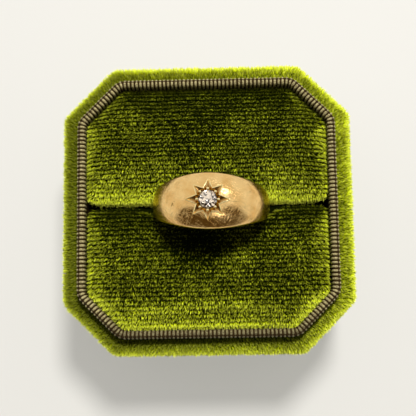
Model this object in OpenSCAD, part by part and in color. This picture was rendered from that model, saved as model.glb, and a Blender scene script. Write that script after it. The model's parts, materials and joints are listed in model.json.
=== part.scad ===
// A star-set gold ring standing in the slot of an octagonal velvet ring box.
// Millimetres. The origin is the middle of the box's underside, +Z up, the box's front towards -Y.

/* [Box] */
// Width of the box across its flats
box_w = 55; // [50:0.5:60]
// Length of box side that each corner cut takes away
corner_cut = 9.5; // [7:0.1:12]
// Height of the flat shoulder above the table
shoulder_h = 25; // [22:0.5:30]
// Thickness of the side wall, board and velvet together
wall_t = 2.8; // [2.6:0.1:4]
// Thickness of the floor
floor_t = 2; // [1.5:0.1:3]
// Radius of the velvet's turn over the shoulder's outer edge
shoulder_round = 1.5; // [0.8:0.1:1.8]

/* [Lip] */
// Height of the ribbon-covered lip above the shoulder
lip_rise = 3.1; // [2:0.1:5]
// Thickness of the lip
lip_t = 1.4; // [1.2:0.1:2]

/* [Pads] */
// Height of the back pad's middle below the lip's top
back_drop = 0.3; // [0:0.1:2]
// Height of the front pad's middle below the lip's top
front_drop = 0.7; // [0:0.1:2.5]
// Distance that the roll of each pad's top edge reaches inwards
roll_in = 3.2; // [2:0.1:3.5]
// Drop of that roll against the lip
lip_roll = 1.7; // [1:0.1:3]
// Drop of that roll at the slot
slot_roll = 3.2; // [2:0.1:3.5]
// Rise of each pad's middle above the end of its roll
pad_crown = 0.5; // [0.3:0.1:1]
// Place of the slot behind the box's middle
slot_y = 0.7; // [-1:0.1:1]
// Width of the dark gap that the pads leave between them
slot_gap = 0.8; // [0.1:0.1:1]

/* [Ring] */
// Inside diameter of the ring
bore_d = 17.5; // [15.6:0.1:19]
// Width of the head along the finger
head_w = 10.15; // [8:0.05:11]
// Width of the shank at the back
shank_w = 3.5; // [3:0.1:4.5]
// Thickness of the metal at the middle of the head
head_t = 3.2; // [3:0.1:3.6]
// Thickness of the metal at the back of the shank
shank_t = 1.6; // [1.4:0.1:2]
// Height that the head's dome rises above its rim
head_dome = 1.9; // [1.4:0.1:2]
// Height that the shank's dome rises above its edges
shank_dome = 0.5; // [0.3:0.1:0.7]
// Turn of the ring in its slot, positive towards +X
ring_roll = -2.3; // [-6:0.1:6]
// Lean of the ring towards the front of the box
ring_lean = 1.1; // [-3:0.1:3]
// Turn of the ring out of line with the slot, seen from above
ring_turn = -1.4; // [-2:0.1:2]
// Place of the ring's middle to the right of the box's middle
ring_x = 0.85; // [-2:0.05:2]
// Place of the ring's middle behind the box's middle
ring_y = -0.1; // [-1:0.1:1]
// Height of the ring's middle above the shoulder
ring_rise = 2.2; // [1:0.1:2.5]

/* [Star and stone] */
// Distance from the stone's middle to the tips of the two rays that point along the band
star_side_r = 4; // [3.4:0.05:4.2]
// Distance from the stone's middle to the tips of the other six rays
star_tip_r = 3.65; // [3.2:0.05:3.8]
// Distance from the stone's middle to the notches between the rays
star_notch_r = 2.1; // [2:0.05:2.4]
// Depth of the star's grooves below the dome, where they are deepest
star_depth = 0.5; // [0.3:0.05:0.6]
// Diameter of the stone
stone_d = 3.3; // [3:0.1:3.4]
// Depth of the stone's girdle below the middle of the dome
girdle_drop = 0.45; // [0.4:0.05:0.6]
// Radius of each bead of metal that grips the stone
grain_r = 0.27; // [0.2:0.01:0.28]

/* [Hidden] */
// Clearance left between pieces that touch in the real thing
gap = 0.1;
// Segments in each rounded corner, and in each rounded edge
corner_steps = 4;
edge_steps = 5;
pad_steps = 8;
// Radii of the rounded corners of the shell, the lip and the pads
shell_corner_r = 2;
lip_corner_r = 3.2;
pad_corner_r = 1.6;
// Radius of the box's bottom edge
foot_round = 0.8;
// Insets from the shell's outside to the lip's two faces and to the pads
lip_outer = wall_t + gap;
lip_inner = lip_outer + lip_t;
pad_inset = lip_inner + 2 * gap;
lip_top = shoulder_h + lip_rise;
// Steps round the ring and across its dome
ring_steps = 72;
dome_steps = 12;
bore_r = bore_d / 2;
head_r = bore_r + head_t;
// How fast the head's width, thickness and dome fall away towards the shank
width_fall = 2.45;
thick_fall = 1.35;
dome_fall = 4;
// Radius of the fine round along the ring's outer edges
rim_round = 0.3;
rays = 8;
// Steps along each edge of the star, and how far from its middle the grooves stop getting deeper
ray_steps = 3;
star_keel_r = 1.9;
// Depth in the star's middle, which the stone's seat cuts away
star_foot = 1;
stone_r = stone_d / 2;
// Old round cut: table's share of the width, crown and pavilion angles, and culet
table_share = 0.53;
star_share = 0.776;
lower_share = 0.54;
culet_share = 0.06;
crown_angle = 35;
pavilion_angle = 41;
girdle_t = 0.06;
drill_r = 0.75;
// Clearance between the stone and its seat
seat_gap = 0.05;
// Sides of the box as [direction of the outward normal, distance from the middle]
half_w = box_w / 2;
diagonal = (box_w - corner_cut) / sqrt(2);
box_sides = [for (k = [0:7]) [45 * k, k % 2 == 0 ? half_w : diagonal]];
velvet = "#6f8412";
ribbon = "#6b5a45";
gold = "#d9a850";

// A point where two sides meet, each pulled in by inset
function meeting(a, b, inset) =
    let (turn = (b[0] - a[0] + 360) % 360, s = a[1] - inset, e = b[1] - inset, t = (e - s * cos(turn)) / sin(turn))
    [s * cos(a[0]) - t * sin(a[0]), s * sin(a[0]) + t * cos(a[0])];

// The outline of convex sides pulled in by inset, corners rounded to r, clockwise seen from above
function outline(sides, inset, r) =
    let (
        n = len(sides),
        loop = [for (k = [0:n - 1])
            let (a = sides[k], b = sides[(k + 1) % n], turn = (b[0] - a[0] + 360) % 360, c = meeting(a, b, inset + r))
            each [for (j = [0:corner_steps]) c + r * [cos(a[0] + turn * j / corner_steps), sin(a[0] + turn * j / corner_steps)]]]
    )
    [for (i = [len(loop) - 1:-1:0]) loop[i]];

// The same outline as a flat row of points at a height
function row_at(sides, inset, r, z) = [for (p = outline(sides, inset, r)) [p[0], p[1], z]];

// A skin over rows of points. It is capped at both ends, or runs back to its first row.
module loft(rows, closed = false) {
    n = len(rows[0]);
    m = len(rows);
    last = closed ? m - 1 : m - 2;
    skin = [for (j = [0:last], i = [0:n - 1])
        let (a = j * n + i, b = j * n + (i + 1) % n, c = ((j + 1) % m) * n + (i + 1) % n, d = ((j + 1) % m) * n + i)
        each [[a, b, c], [a, c, d]]];
    caps = closed ? [] : [[for (i = [n - 1:-1:0]) i], [for (i = [0:n - 1]) (m - 1) * n + i]];
    polyhedron(points = [for (row = rows) each row], faces = concat(skin, caps));
}

// Steps of a quarter turn from 0 to 90 degrees
function quarter() = [for (i = [0:edge_steps]) 90 * i / edge_steps];

// How near a direction is to the head, from 1 at the head to 0 at the back of the shank
function nearness(a) = (1 + cos(a)) / 2;
function half_width(a) = (shank_w + (head_w - shank_w) * pow(nearness(a), width_fall)) / 2;
function thickness(a) = shank_t + (head_t - shank_t) * pow(nearness(a), thick_fall);
function dome(a) = shank_dome + (head_dome - shank_dome) * pow(nearness(a), dome_fall);

// Radius of the ring's outside in direction a, at y along the finger: a circular arc from rim to rim
function outer_r(a, y) =
    let (w = half_width(a), s = dome(a), arc = (w * w + s * s) / (2 * s))
    bore_r + thickness(a) - arc + sqrt(arc * arc - y * y);

// A point at radius r in direction a from the finger's axis, with the head at +Z
function round_ring(a, r, y) = [r * sin(a), y, r * cos(a)];

// One section of the ring: inside the bore, up one edge, over the dome and down the other edge
function ring_section(a) =
    let (
        w = half_width(a),
        crown = w - rim_round,
        rim = outer_r(a, w) - rim_round,
        profile = concat(
            [[bore_r - 1, -w], [rim, -w]],
            [for (i = [0:dome_steps]) let (y = -crown + 2 * crown * i / dome_steps) [outer_r(a, y), y]],
            [[rim, w], [bore_r - 1, w]]
        )
    )
    [for (p = profile) round_ring(a, p[0], p[1])];

// A point over the plan place p: on the dome, or below it by depth
function on_dome(p, depth) =
    let (a = asin(p[0] / head_r))
    [p[0], p[1], outer_r(a, p[1]) * cos(a) - depth];

// Corners of the star's outline in plan, tips and notches by turns, the first tip towards +X
function star_corner(i) =
    let (turn = 180 * i / rays, r = i % 2 == 1 ? star_notch_r : i % rays == 0 ? star_side_r : star_tip_r)
    r * [cos(turn), sin(turn)];

// The eight-rayed star: V grooves cut down from the dome, whose keels meet under the stone
module star_cutter() {
    n = 2 * rays * ray_steps;
    plan = [for (i = [0:2 * rays - 1], j = [0:ray_steps - 1])
        star_corner(i) + (star_corner(i + 1) - star_corner(i)) * j / ray_steps];
    brim = [for (p = plan) on_dome(p, 0)];
    top = [for (p = plan) [p[0], p[1], head_r + 1]];
    keels = [for (k = [0:rays - 1]) on_dome(star_keel_r * [cos(360 * k / rays), sin(360 * k / rays)], star_depth)];
    foot = 2 * n + rays;
    lid = foot + 1;
    walls = [for (i = [0:n - 1])
        let (k = (i + 1) % n, keel = 2 * n + floor((floor(i / ray_steps) + 1) / 2) % rays)
        each [[keel, i, k], [i, n + i, k], [k, n + i, n + k], [lid, n + k, n + i]]];
    inner = [for (k = [0:rays - 1])
        let (notch = (2 * k + 1) * ray_steps)
        each [[2 * n + k, notch, foot], [foot, notch, 2 * n + (k + 1) % rays]]];
    polyhedron(points = concat(brim, top, keels, [[0, 0, head_r - star_foot], [0, 0, head_r + 1]]), faces = concat(walls, inner));
}

// The seat that is drilled and burred for the stone, open to the finger
module stone_seat() {
    burr = stone_r + seat_gap;
    level = head_r - girdle_drop - girdle_t / 2 - seat_gap;
    depth = (burr - drill_r) * tan(pavilion_angle);
    translate([0, 0, level]) cylinder(r = burr, h = 3, $fn = 48);
    translate([0, 0, level - depth]) cylinder(r1 = drill_r, r2 = burr, h = depth, $fn = 48);
    translate([0, 0, bore_r - 1]) cylinder(r = drill_r, h = head_t, $fn = 48);
}

// A bead of metal raised at the foot of a ray, bent over the stone's edge
module grain() {
    stem_h = 0.9;
    translate([stone_r + 0.25, 0, head_r - girdle_drop + 0.24]) {
        scale([1, 1, 0.85]) sphere(r = grain_r, $fn = 24);
        translate([0.05, 0, -stem_h]) cylinder(r = grain_r * 0.9, h = stem_h, $fn = 24);
    }
}

// Puts a piece that is made about the finger's axis in its place in the slot
module in_slot() {
    translate([ring_x, ring_y, shoulder_h + ring_rise])
        rotate([0, 0, ring_turn]) rotate([ring_lean, 0, 0]) rotate([0, ring_roll, 0]) children();
}

module ring_band() {
    color(gold) in_slot() {
        difference() {
            loft([for (i = [0:ring_steps - 1]) ring_section(360 * i / ring_steps)], closed = true);
            rotate([90, 0, 0]) cylinder(r = bore_r, h = 2 * head_w, center = true, $fn = 96);
            star_cutter();
            stone_seat();
        }
        for (k = [0:rays - 1]) rotate([0, 0, 360 * k / rays]) grain();
    }
}

// A vertex of the stone at radius r and height z, in each of eight directions that start at turn
function stone_row(r, turn, z) = [for (k = [0:7]) [r * cos(45 * k + turn), r * sin(45 * k + turn), z]];
// Heights on the crown's and the pavilion's main facets above a vertex at radius r, halfway between two facets
function crown_z(r) = girdle_t / 2 + tan(crown_angle) * (stone_r - r * cos(22.5));
function pavilion_z(r) = -girdle_t / 2 - tan(pavilion_angle) * (stone_r - r * cos(22.5));

module diamond() {
    table_r = table_share * stone_r;
    table_z = girdle_t / 2 + tan(crown_angle) * (stone_r - table_r);
    star_r = star_share * stone_r;
    lower_r = lower_share * stone_r;
    culet_r = culet_share * stone_r;
    vertices = concat(
        stone_row(table_r, 0, table_z),
        stone_row(star_r, 22.5, crown_z(star_r)),
        stone_row(stone_r, 0, girdle_t / 2),
        stone_row(stone_r, 22.5, girdle_t / 2),
        stone_row(stone_r, 0, -girdle_t / 2),
        stone_row(stone_r, 22.5, -girdle_t / 2),
        stone_row(lower_r, 22.5, pavilion_z(lower_r)),
        stone_row(culet_r, 22.5, pavilion_z(culet_r))
    );
    facets = [for (k = [0:7])
        let (
            next = (k + 1) % 8, before = (k + 7) % 8,
            table = k, star = 8 + k, main = 16 + k, half = 24 + k,
            main_low = 32 + k, half_low = 40 + k, lower = 48 + k, culet = 56 + k
        )
        each [
            [table, next, star],
            [table, star, main, 8 + before],
            [star, half, main],
            [star, 16 + next, half],
            [main, half, half_low, main_low],
            [half, 16 + next, 32 + next, half_low],
            [lower, main_low, half_low],
            [lower, half_low, 32 + next],
            [main_low, lower, culet, 56 + before, 48 + before]
        ]];
    ends = [[for (k = [7:-1:0]) k], [for (k = [0:7]) 56 + k]];
    color("#e9eef2") in_slot() translate([0, 0, head_r - girdle_drop])
        polyhedron(points = vertices, faces = concat(facets, ends));
}

// The velvet-covered tray: round its foot, up the wall, over the shoulder and down to the floor inside
module box_shell() {
    foot = [for (t = quarter()) [foot_round * (1 - sin(t)), foot_round * (1 - cos(t))]];
    turn_over = [for (t = quarter()) [shoulder_round * (1 - cos(t)), shoulder_h - shoulder_round * (1 - sin(t))]];
    profile = concat(foot, turn_over, [[wall_t, shoulder_h], [wall_t, floor_t]]);
    color(velvet) loft([for (p = profile) row_at(box_sides, p[0], shell_corner_r, p[1])]);
}

// The lip: a collar that stands on the floor and rises past the shoulder, with a round top under its ribbon
module lip() {
    half_t = lip_t / 2;
    crest = [for (t = [0:180 / (2 * edge_steps):180])
        [lip_outer + half_t * (1 - cos(t)), lip_top - half_t * (1 - sin(t))]];
    profile = concat([[lip_outer, floor_t + gap]], crest, [[lip_inner, floor_t + gap]]);
    color(ribbon) loft([for (p = profile) row_at(box_sides, p[0], lip_corner_r, p[1])], closed = true);
}

// How far a pad's side lies in from its straight wall at a depth below the end of the roll
function rolled(side, depth) =
    let (drop = side[2])
    depth >= drop ? 0 : roll_in * (1 - sqrt(1 - pow(1 - depth / drop, 2)));

// One level section of a pad, whose sides are [direction, distance from the middle, drop of the roll]
function pad_row(sides, depth, extra, r, z) =
    row_at([for (side = sides) [side[0], side[1] - rolled(side, depth)]], pad_inset + extra, r, z);

// A stuffed pad: straight walls, a rolled top edge and a low crown, with a pocket for the ring
module pad(sides, top_z, parted = false) {
    roll_z = top_z - pad_crown;
    deepest = max(slot_roll, lip_roll);
    crown_in = 5;
    crown_steps = 4;
    roll = [for (t = [0:90 / pad_steps:90])
        let (depth = deepest * (1 - sin(t)))
        pad_row(sides, depth, 0, pad_corner_r * (1 - 0.3 * sin(t)), roll_z - depth)];
    crown = [for (i = [1:crown_steps])
        let (t = 90 * i / crown_steps)
        pad_row(sides, 0, crown_in * (1 - cos(t)), pad_corner_r * (0.7 - 0.3 * i / crown_steps), roll_z + pad_crown * sin(t))];
    color(velvet) difference() {
        loft(concat([pad_row(sides, deepest, 0, pad_corner_r, floor_t + gap)], roll, crown));
        in_slot() ring_pocket();
        if (parted) parting();
    }
}

// The long hollow at each side of the ring, where it presses the front pad away
module parting() {
    translate([ring_x, slot_y - 0.4, lip_top]) scale([16, 3.2, 6]) sphere(r = 1, $fn = 48);
}

// The room that the ring takes between the pads: a disc that widens towards the head, as the band does
module ring_pocket() {
    room = 0.2;
    reach = bore_r + thickness(90) + room;
    // Heights from the ring's middle and the half widths there
    flare = [[-reach, half_width(180) + room], [-6, half_width(125) + room], [0, half_width(88) + room], [3, half_width(71) + room]];
    side = [for (p = flare) [p[1], p[0]]];
    other = [for (i = [len(flare) - 1:-1:0]) [-flare[i][1], flare[i][0]]];
    intersection() {
        rotate([90, 0, 0]) cylinder(r = reach, h = 2 * head_w, center = true, $fn = 96);
        rotate([90, 0, 90]) linear_extrude(height = 3 * bore_r, center = true) polygon(concat(side, other));
    }
}

// Each pad's sides: the slot's face, and the sides of the box behind or in front of it
slot_back = pad_inset - (slot_y + slot_gap / 2);
slot_front = pad_inset + (slot_y - slot_gap / 2);
back_sides = concat([[270, slot_back, slot_roll]], [for (k = [0:4]) concat(box_sides[k], lip_roll)]);
front_sides = concat([[90, slot_front, slot_roll]], [for (k = [4:8]) [45 * k, box_sides[k % 8][1], lip_roll]]);

module back_pad() pad(back_sides, lip_top - back_drop);

module front_pad() pad(front_sides, lip_top - front_drop, parted = true);

ring_band();
diamond();
box_shell();
lip();
back_pad();
front_pad();
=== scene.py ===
# Starburst ring: a gold ring with one old-cut diamond, standing in the slot of a velvet ring box
import json
import math
from functools import partial

import bmesh
import bpy
from mathutils import Matrix, Vector
from mathutils.bvhtree import BVHTree

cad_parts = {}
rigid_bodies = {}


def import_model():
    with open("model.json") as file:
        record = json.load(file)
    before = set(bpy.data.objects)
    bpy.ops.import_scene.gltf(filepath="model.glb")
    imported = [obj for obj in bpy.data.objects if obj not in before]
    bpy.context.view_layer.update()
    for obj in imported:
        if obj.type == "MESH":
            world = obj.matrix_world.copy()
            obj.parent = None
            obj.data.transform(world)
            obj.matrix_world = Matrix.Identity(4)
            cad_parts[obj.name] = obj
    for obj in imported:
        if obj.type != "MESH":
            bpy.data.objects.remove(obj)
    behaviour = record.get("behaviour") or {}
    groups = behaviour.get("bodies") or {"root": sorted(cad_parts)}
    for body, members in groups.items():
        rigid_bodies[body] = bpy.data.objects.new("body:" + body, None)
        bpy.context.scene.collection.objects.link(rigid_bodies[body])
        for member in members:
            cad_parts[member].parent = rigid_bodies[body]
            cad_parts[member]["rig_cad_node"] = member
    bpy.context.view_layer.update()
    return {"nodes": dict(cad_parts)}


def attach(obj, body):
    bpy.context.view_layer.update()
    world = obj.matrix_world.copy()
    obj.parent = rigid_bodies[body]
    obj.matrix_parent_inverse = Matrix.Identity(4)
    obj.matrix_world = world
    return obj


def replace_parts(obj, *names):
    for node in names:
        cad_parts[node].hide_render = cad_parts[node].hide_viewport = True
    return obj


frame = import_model()
scene = bpy.context.scene
mm = 0.001
shoulderHeight = 25.0  # mm, top of the shoulder round the lip
noiseSpan = (0.3, 0.7)  # nearly all of a noise lies between these
smallest = 1e-9  # m, so that nothing is divided by a length of zero
joinWithin = 0.002 * mm  # corners of a CAD node's triangles that are the same point


def toLinear(hexColour):  # sRGB hex to the linear colour that sockets take
    channels = [int(hexColour[i:i + 2], 16) / 255 for i in (1, 3, 5)]
    return [c / 12.92 if c <= 0.04045 else ((c + 0.055) / 1.055) ** 2.4 for c in channels] + [1.0]


def scaleFor(size):  # a pattern's scale, to the nearest whole number, from the size of its features in mm
    return round(1 / (size * mm))


def setInputs(node, inputs):  # values and links, by name or in the sockets' order
    for key, value in inputs.items() if isinstance(inputs, dict) else enumerate(inputs):
        if isinstance(value, bpy.types.Node):
            value = next(socket for socket in value.outputs if socket.enabled)
        if isinstance(value, bpy.types.NodeSocket):
            node.id_data.links.new(value, node.inputs[key])
        elif value is not None:
            node.inputs[key].default_value = value


# A Mix node's inputs 2 and 3 are its numbers, 6 and 7 are its colours, and output 2 is the mixed colour.
# A Map Range takes its value, from, from, to, to. A Random Value's inputs 2 and 3 are its least and most.
def addNode(tree, kind, inputs=(), **settings):  # a node with its settings, values and links
    node = tree.nodes.new(kind)
    for name, value in settings.items():
        setattr(node, name, value)
    setInputs(node, inputs)
    return node


def newMaterial(name, values, pattern=None):  # values that are even all over, and a function for what varies
    material = bpy.data.materials.new(name)
    material.use_nodes = True
    shader = material.node_tree.nodes["Principled BSDF"]
    setInputs(shader, values)
    if pattern:
        setInputs(shader, pattern(partial(addNode, material.node_tree)))
    return material


def socketKind(value):  # the kind of socket that holds a value
    kinds = {bpy.types.Material: "Material", bpy.types.Object: "Object", int: "Int", float: "Float"}
    return "NodeSocket" + next((kinds[kind] for kind in kinds if isinstance(value, kind)), "Vector")


def newGeometryTree(name, sizes):  # a mesh comes in and a mesh goes out, with a named input for each size
    tree = bpy.data.node_groups.new(name, "GeometryNodeTree")
    tree.interface.new_socket("Geometry", in_out="INPUT", socket_type="NodeSocketGeometry")
    for label, value in sizes.items():
        tree.interface.new_socket(label, in_out="INPUT", socket_type=socketKind(value))
    tree.interface.new_socket("Geometry", in_out="OUTPUT", socket_type="NodeSocketGeometry")
    return tree, partial(addNode, tree), tree.nodes.new("NodeGroupInput").outputs


def endTree(tree, real, material):  # the finished mesh gets its material and goes out
    coloured = addNode(tree, "GeometryNodeSetMaterial", {"Geometry": real, "Material": material})
    addNode(tree, "NodeGroupOutput", [coloured])
    return tree


def linkedObject(name, data):
    obj = bpy.data.objects.new(name, data)
    scene.collection.objects.link(obj)
    return obj


def plainMesh(obj, name):  # the mesh as its modifiers leave it, which then go
    evaluated = obj.evaluated_get(bpy.context.evaluated_depsgraph_get())
    mesh = bpy.data.meshes.new_from_object(evaluated)
    mesh.name = name
    obj.modifiers.clear()
    return mesh


def growMesh(carrier, tree, sizes, name):  # runs a geometry tree on an object, its inputs set by identifier
    modifier = carrier.modifiers.new(tree.name, "NODES")
    modifier.node_group = tree
    for item in tree.interface.items_tree:
        if item.in_out == "INPUT" and item.name in sizes:
            modifier[item.identifier] = sizes[item.name]
    return plainMesh(carrier, name)


def closedMesh(work, name, smooth=False):  # a mesh whose faces all look outwards
    bmesh.ops.recalc_face_normals(work, faces=work.faces)
    for face in work.faces:
        face.smooth = smooth
    mesh = bpy.data.meshes.new(name)
    work.to_mesh(mesh)
    work.free()
    return mesh


def loft(work, loops):  # walls from loop to loop, and a cap at each end
    for lower, upper in zip(loops, loops[1:]):
        for i in range(len(lower)):
            k = (i + 1) % len(lower)
            work.faces.new((lower[i], lower[k], upper[k], upper[i]))
    work.faces.new(loops[0][::-1])
    work.faces.new(loops[-1])


def mergedCopy(node, name):  # a CAD node's mesh with its loose triangles joined up
    mesh = frame["nodes"][node].data.copy()
    work = bmesh.new()
    work.from_mesh(mesh)
    bmesh.ops.remove_doubles(work, verts=work.verts, dist=joinWithin)
    work.to_mesh(mesh)
    work.free()
    mesh.name = name
    return mesh


def dressed(obj, material):
    obj.data.materials.clear()
    obj.data.materials.append(material)
    return obj if "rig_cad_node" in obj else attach(obj, "root")


# Camera: square on to the box from a hand's height, leaning a little to the front
cameraFit = {
    "sensor": 36.0,  # mm
    "frameWidth": 416,  # px
    "focal": 781.2,  # px
    "tilt": -7.34,
    "lean": -1.39,
    "turn": 0.92,
    "shoulderFromLens": (0.11, -0.08, 150.0),  # mm, on the camera's own axes
}


def placeCamera(fit):
    axes = (Matrix.Rotation(math.radians(fit["tilt"]), 3, "X")
            @ Matrix.Rotation(math.radians(fit["lean"]), 3, "Y")
            @ Matrix.Rotation(math.radians(fit["turn"]), 3, "Z")).transposed()
    place = axes @ Vector(fit["shoulderFromLens"]) + Vector((0, 0, shoulderHeight))
    lens = bpy.data.cameras.new("camera")
    lens.sensor_width = fit["sensor"]
    lens.lens = fit["focal"] / fit["frameWidth"] * fit["sensor"]
    lens.clip_start = mm
    camera = linkedObject("camera", lens)
    camera.matrix_world = Matrix.Translation(place * mm) @ axes.to_4x4()
    scene.camera = camera


placeCamera(cameraFit)
print("camera placed")

# Light: a pale room, a skylight behind the box, a window high at the right and a dark screen in front.
# Places in the room are the X, Y and Z of a direction, so 1 is straight to the right, back or up.
room = {
    "colour": "#fbf9f5",
    "strength": 0.82,
    "fillFront": 0.3,  # share of the room's light that falls on cloth and card, from the front and the back
    "fillBack": 0.8,
    "fillReach": 0.6,
    "patches": 9.0,  # scale of the light and dark patches that the stone picks up
    "patchRange": (0.3, 0.7, 0.0, 1.7),
}
screen = {
    "colour": "#58482e",
    "middle": 0.05,  # X where its upper edge starts to rise and where it is at its highest
    "side": 0.6,
    "middleTop": -0.66,  # Y of its upper edge there
    "sideTop": -0.2,
    "topBlur": (-0.01, 0.03),
    "footBlur": (-0.06, 0.04),
    "shoulder": (0.72, -0.36),  # where its corners start to round off, and how far they reach from there
    "shoulderBlur": (0.175, 0.14),
    "gapMiddle": (0.265, -0.56),  # a bright gap, which puts the white streak beside the star
    "gapHalf": (0.15, 0.045),
    "gapBlur": (1.2, 0.8),
    "gapStrength": 6.0,
}
lamps = {  # diameter in mm, place in mm from the middle of the shoulder, and power in W
    "skylight": {"size": 140, "place": (85, 280, 545), "power": 5.6, "colour": "#ffffff", "mirrored": False},
    "window": {"size": 70, "place": (113, 119, 212), "power": 0.072, "colour": "#e6eeff", "mirrored": True},
}
card = {"reach": 200.0, "colour": "#9c9a95", "glow": "#fffdf6", "glowStrength": 0.36, "roughness": 0.9}


def screenShare(add, direction):  # 1 on the screen, which is lower in the middle and rounded at its corners
    part = add("ShaderNodeSeparateXYZ", [direction]).outputs
    sides = add("ShaderNodeMath", [part["X"]], operation="ABSOLUTE")
    rise = [sides, screen["middle"], screen["side"], screen["middleTop"], screen["sideTop"]]
    top = add("ShaderNodeMapRange", rise, interpolation_type="SMOOTHSTEP")
    below = add("ShaderNodeMath", [top, part["Y"]], operation="SUBTRACT")
    underTop = add("ShaderNodeMapRange", [below, *screen["topBlur"]], interpolation_type="SMOOTHSTEP")
    overFoot = add("ShaderNodeMapRange", [part["Z"], *screen["footBlur"]], interpolation_type="SMOOTHSTEP")
    shoulderX, shoulderY = screen["shoulder"]
    pastX = add("ShaderNodeMath", [sides, shoulderX], operation="SUBTRACT", use_clamp=True)
    pastY = add("ShaderNodeMath", [part["Y"], shoulderY], operation="SUBTRACT", use_clamp=True)
    past = add("ShaderNodeCombineXYZ", [pastX, pastY, 0.0])
    away = add("ShaderNodeVectorMath", [past], operation="LENGTH").outputs["Value"]
    inCorner = add("ShaderNodeMapRange", [away, *screen["shoulderBlur"]], interpolation_type="SMOOTHSTEP")
    upright = add("ShaderNodeMath", [underTop, overFoot], operation="MULTIPLY")
    return add("ShaderNodeMath", [upright, inCorner], operation="MULTIPLY")


def gapShare(add, direction):  # 1 in the screen's bright gap
    (gapX, gapY), (halfX, halfY) = screen["gapMiddle"], screen["gapHalf"]
    fromGap = add("ShaderNodeVectorMath", [direction, (gapX, gapY, 0.0)], operation="SUBTRACT")
    inHalves = add("ShaderNodeVectorMath", [fromGap, (1 / halfX, 1 / halfY, 0.0)], operation="MULTIPLY")
    away = add("ShaderNodeVectorMath", [inHalves], operation="LENGTH").outputs["Value"]
    return add("ShaderNodeMapRange", [away, *screen["gapBlur"]], interpolation_type="SMOOTHSTEP")


def roomShare(add, direction):  # how bright the room is to each kind of ray
    path = add("ShaderNodeLightPath").outputs
    # Patches of light and dark, for the rays that come through the stone
    patches = add("ShaderNodeTexVoronoi", {"Vector": direction, "Scale": room["patches"]})
    patch = add("ShaderNodeSeparateXYZ", [patches.outputs["Color"]])
    throughStone = add("ShaderNodeMapRange", [patch, *room["patchRange"]])
    seen = add("ShaderNodeMix", {0: path["Is Transmission Ray"], 2: 1.0, 3: throughStone})
    # The skylight does most of the work on cloth and card, so the room only fills their shadows
    toBack = add("ShaderNodeSeparateXYZ", [direction]).outputs["Y"]
    reach = room["fillReach"]
    fill = add("ShaderNodeMapRange", [toBack, -reach, reach, room["fillFront"], room["fillBack"]])
    return add("ShaderNodeMix", {0: path["Is Diffuse Ray"], 2: seen, 3: fill})


def lightRoom():
    world = bpy.data.worlds.new("room")
    scene.world = world
    world.use_nodes = True
    add = partial(addNode, world.node_tree)
    direction = add("ShaderNodeTexCoord").outputs["Generated"]
    walls = {0: screenShare(add, direction), 6: toLinear(room["colour"]), 7: toLinear(screen["colour"])}
    screened = add("ShaderNodeMix", walls, data_type="RGBA").outputs[2]
    bright = {0: gapShare(add, direction), 6: screened, 7: [screen["gapStrength"]] * 3 + [1.0]}
    colour = add("ShaderNodeMix", bright, data_type="RGBA").outputs[2]
    lit = add("ShaderNodeVectorMath", {0: colour, "Scale": roomShare(add, direction)}, operation="SCALE")
    setInputs(world.node_tree.nodes["Background"], {"Color": lit, "Strength": room["strength"]})
    scene.view_settings.view_transform = "Standard"


def hangLamps():
    middle = Vector((0, 0, shoulderHeight))
    for name, lamp in lamps.items():
        panel = bpy.data.lights.new(name, "AREA")
        panel.shape = "DISK"
        panel.size = lamp["size"] * mm
        panel.energy = lamp["power"]
        panel.color = toLinear(lamp["colour"])[:3]
        hung = linkedObject(name, panel)
        # The lamp that the gold mirrors casts no light on cloth and card
        hung.visible_glossy = lamp["mirrored"]
        hung.visible_diffuse = not lamp["mirrored"]
        away = Vector(lamp["place"])
        facing = away.to_track_quat("Z", "Y").to_matrix().to_4x4()
        hung.matrix_world = Matrix.Translation((away + middle) * mm) @ facing


def layCard():  # matt white card, slightly warm, lit from below too, which thins the box's shadow
    reach = card["reach"] * mm
    corners = [(-reach, -reach, 0), (reach, -reach, 0), (reach, reach, 0), (-reach, reach, 0)]
    mesh = bpy.data.meshes.new("floor")
    mesh.from_pydata(corners, [], [(0, 1, 2, 3)])
    mesh.materials.append(newMaterial("matt white card", {
        "Base Color": toLinear(card["colour"]),
        "Emission Color": toLinear(card["glow"]),
        "Emission Strength": card["glowStrength"],
        "Roughness": card["roughness"],
    }))
    linkedObject("floor", mesh)


lightRoom()
hangLamps()
layCard()
print("light and floor ready")

# The ring's sizes in mm. It is made about the finger's axis with its head up, then set in the slot.
ring = {
    "Bore Radius": 8.75,
    "Head Width": 10.15,
    "Shank Width": 3.5,
    "Head Thickness": 3.2,
    "Shank Thickness": 1.6,
    "Head Dome": 1.9,
    "Shank Dome": 0.5,
    "Width Fall": 2.45,
    "Thickness Fall": 1.35,
    "Dome Fall": 4.0,
    "Edge Round": 0.3,
    "Join Within": 0.001,  # where the grid's last row and column come round to its first
}
ringCounts = {"Turns": 300, "Outer Columns": 56, "Columns": 84}
ringPlace = {"middle": (0.85, -0.1, 27.2), "turn": -1.4, "lean": 1.1, "roll": -2.3}
headRadius = ring["Bore Radius"] + ring["Head Thickness"]


def inSlot():
    return (Matrix.Translation(Vector(ringPlace["middle"]))
            @ Matrix.Rotation(math.radians(ringPlace["turn"]), 4, "Z")
            @ Matrix.Rotation(math.radians(ringPlace["lean"]), 4, "X")
            @ Matrix.Rotation(math.radians(ringPlace["roll"]), 4, "Y"))


def onHead(x, y):  # a place on the ring's head, x and y in mm from the stone's middle
    return inSlot() @ Vector((x, y, headRadius)) * mm


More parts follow.
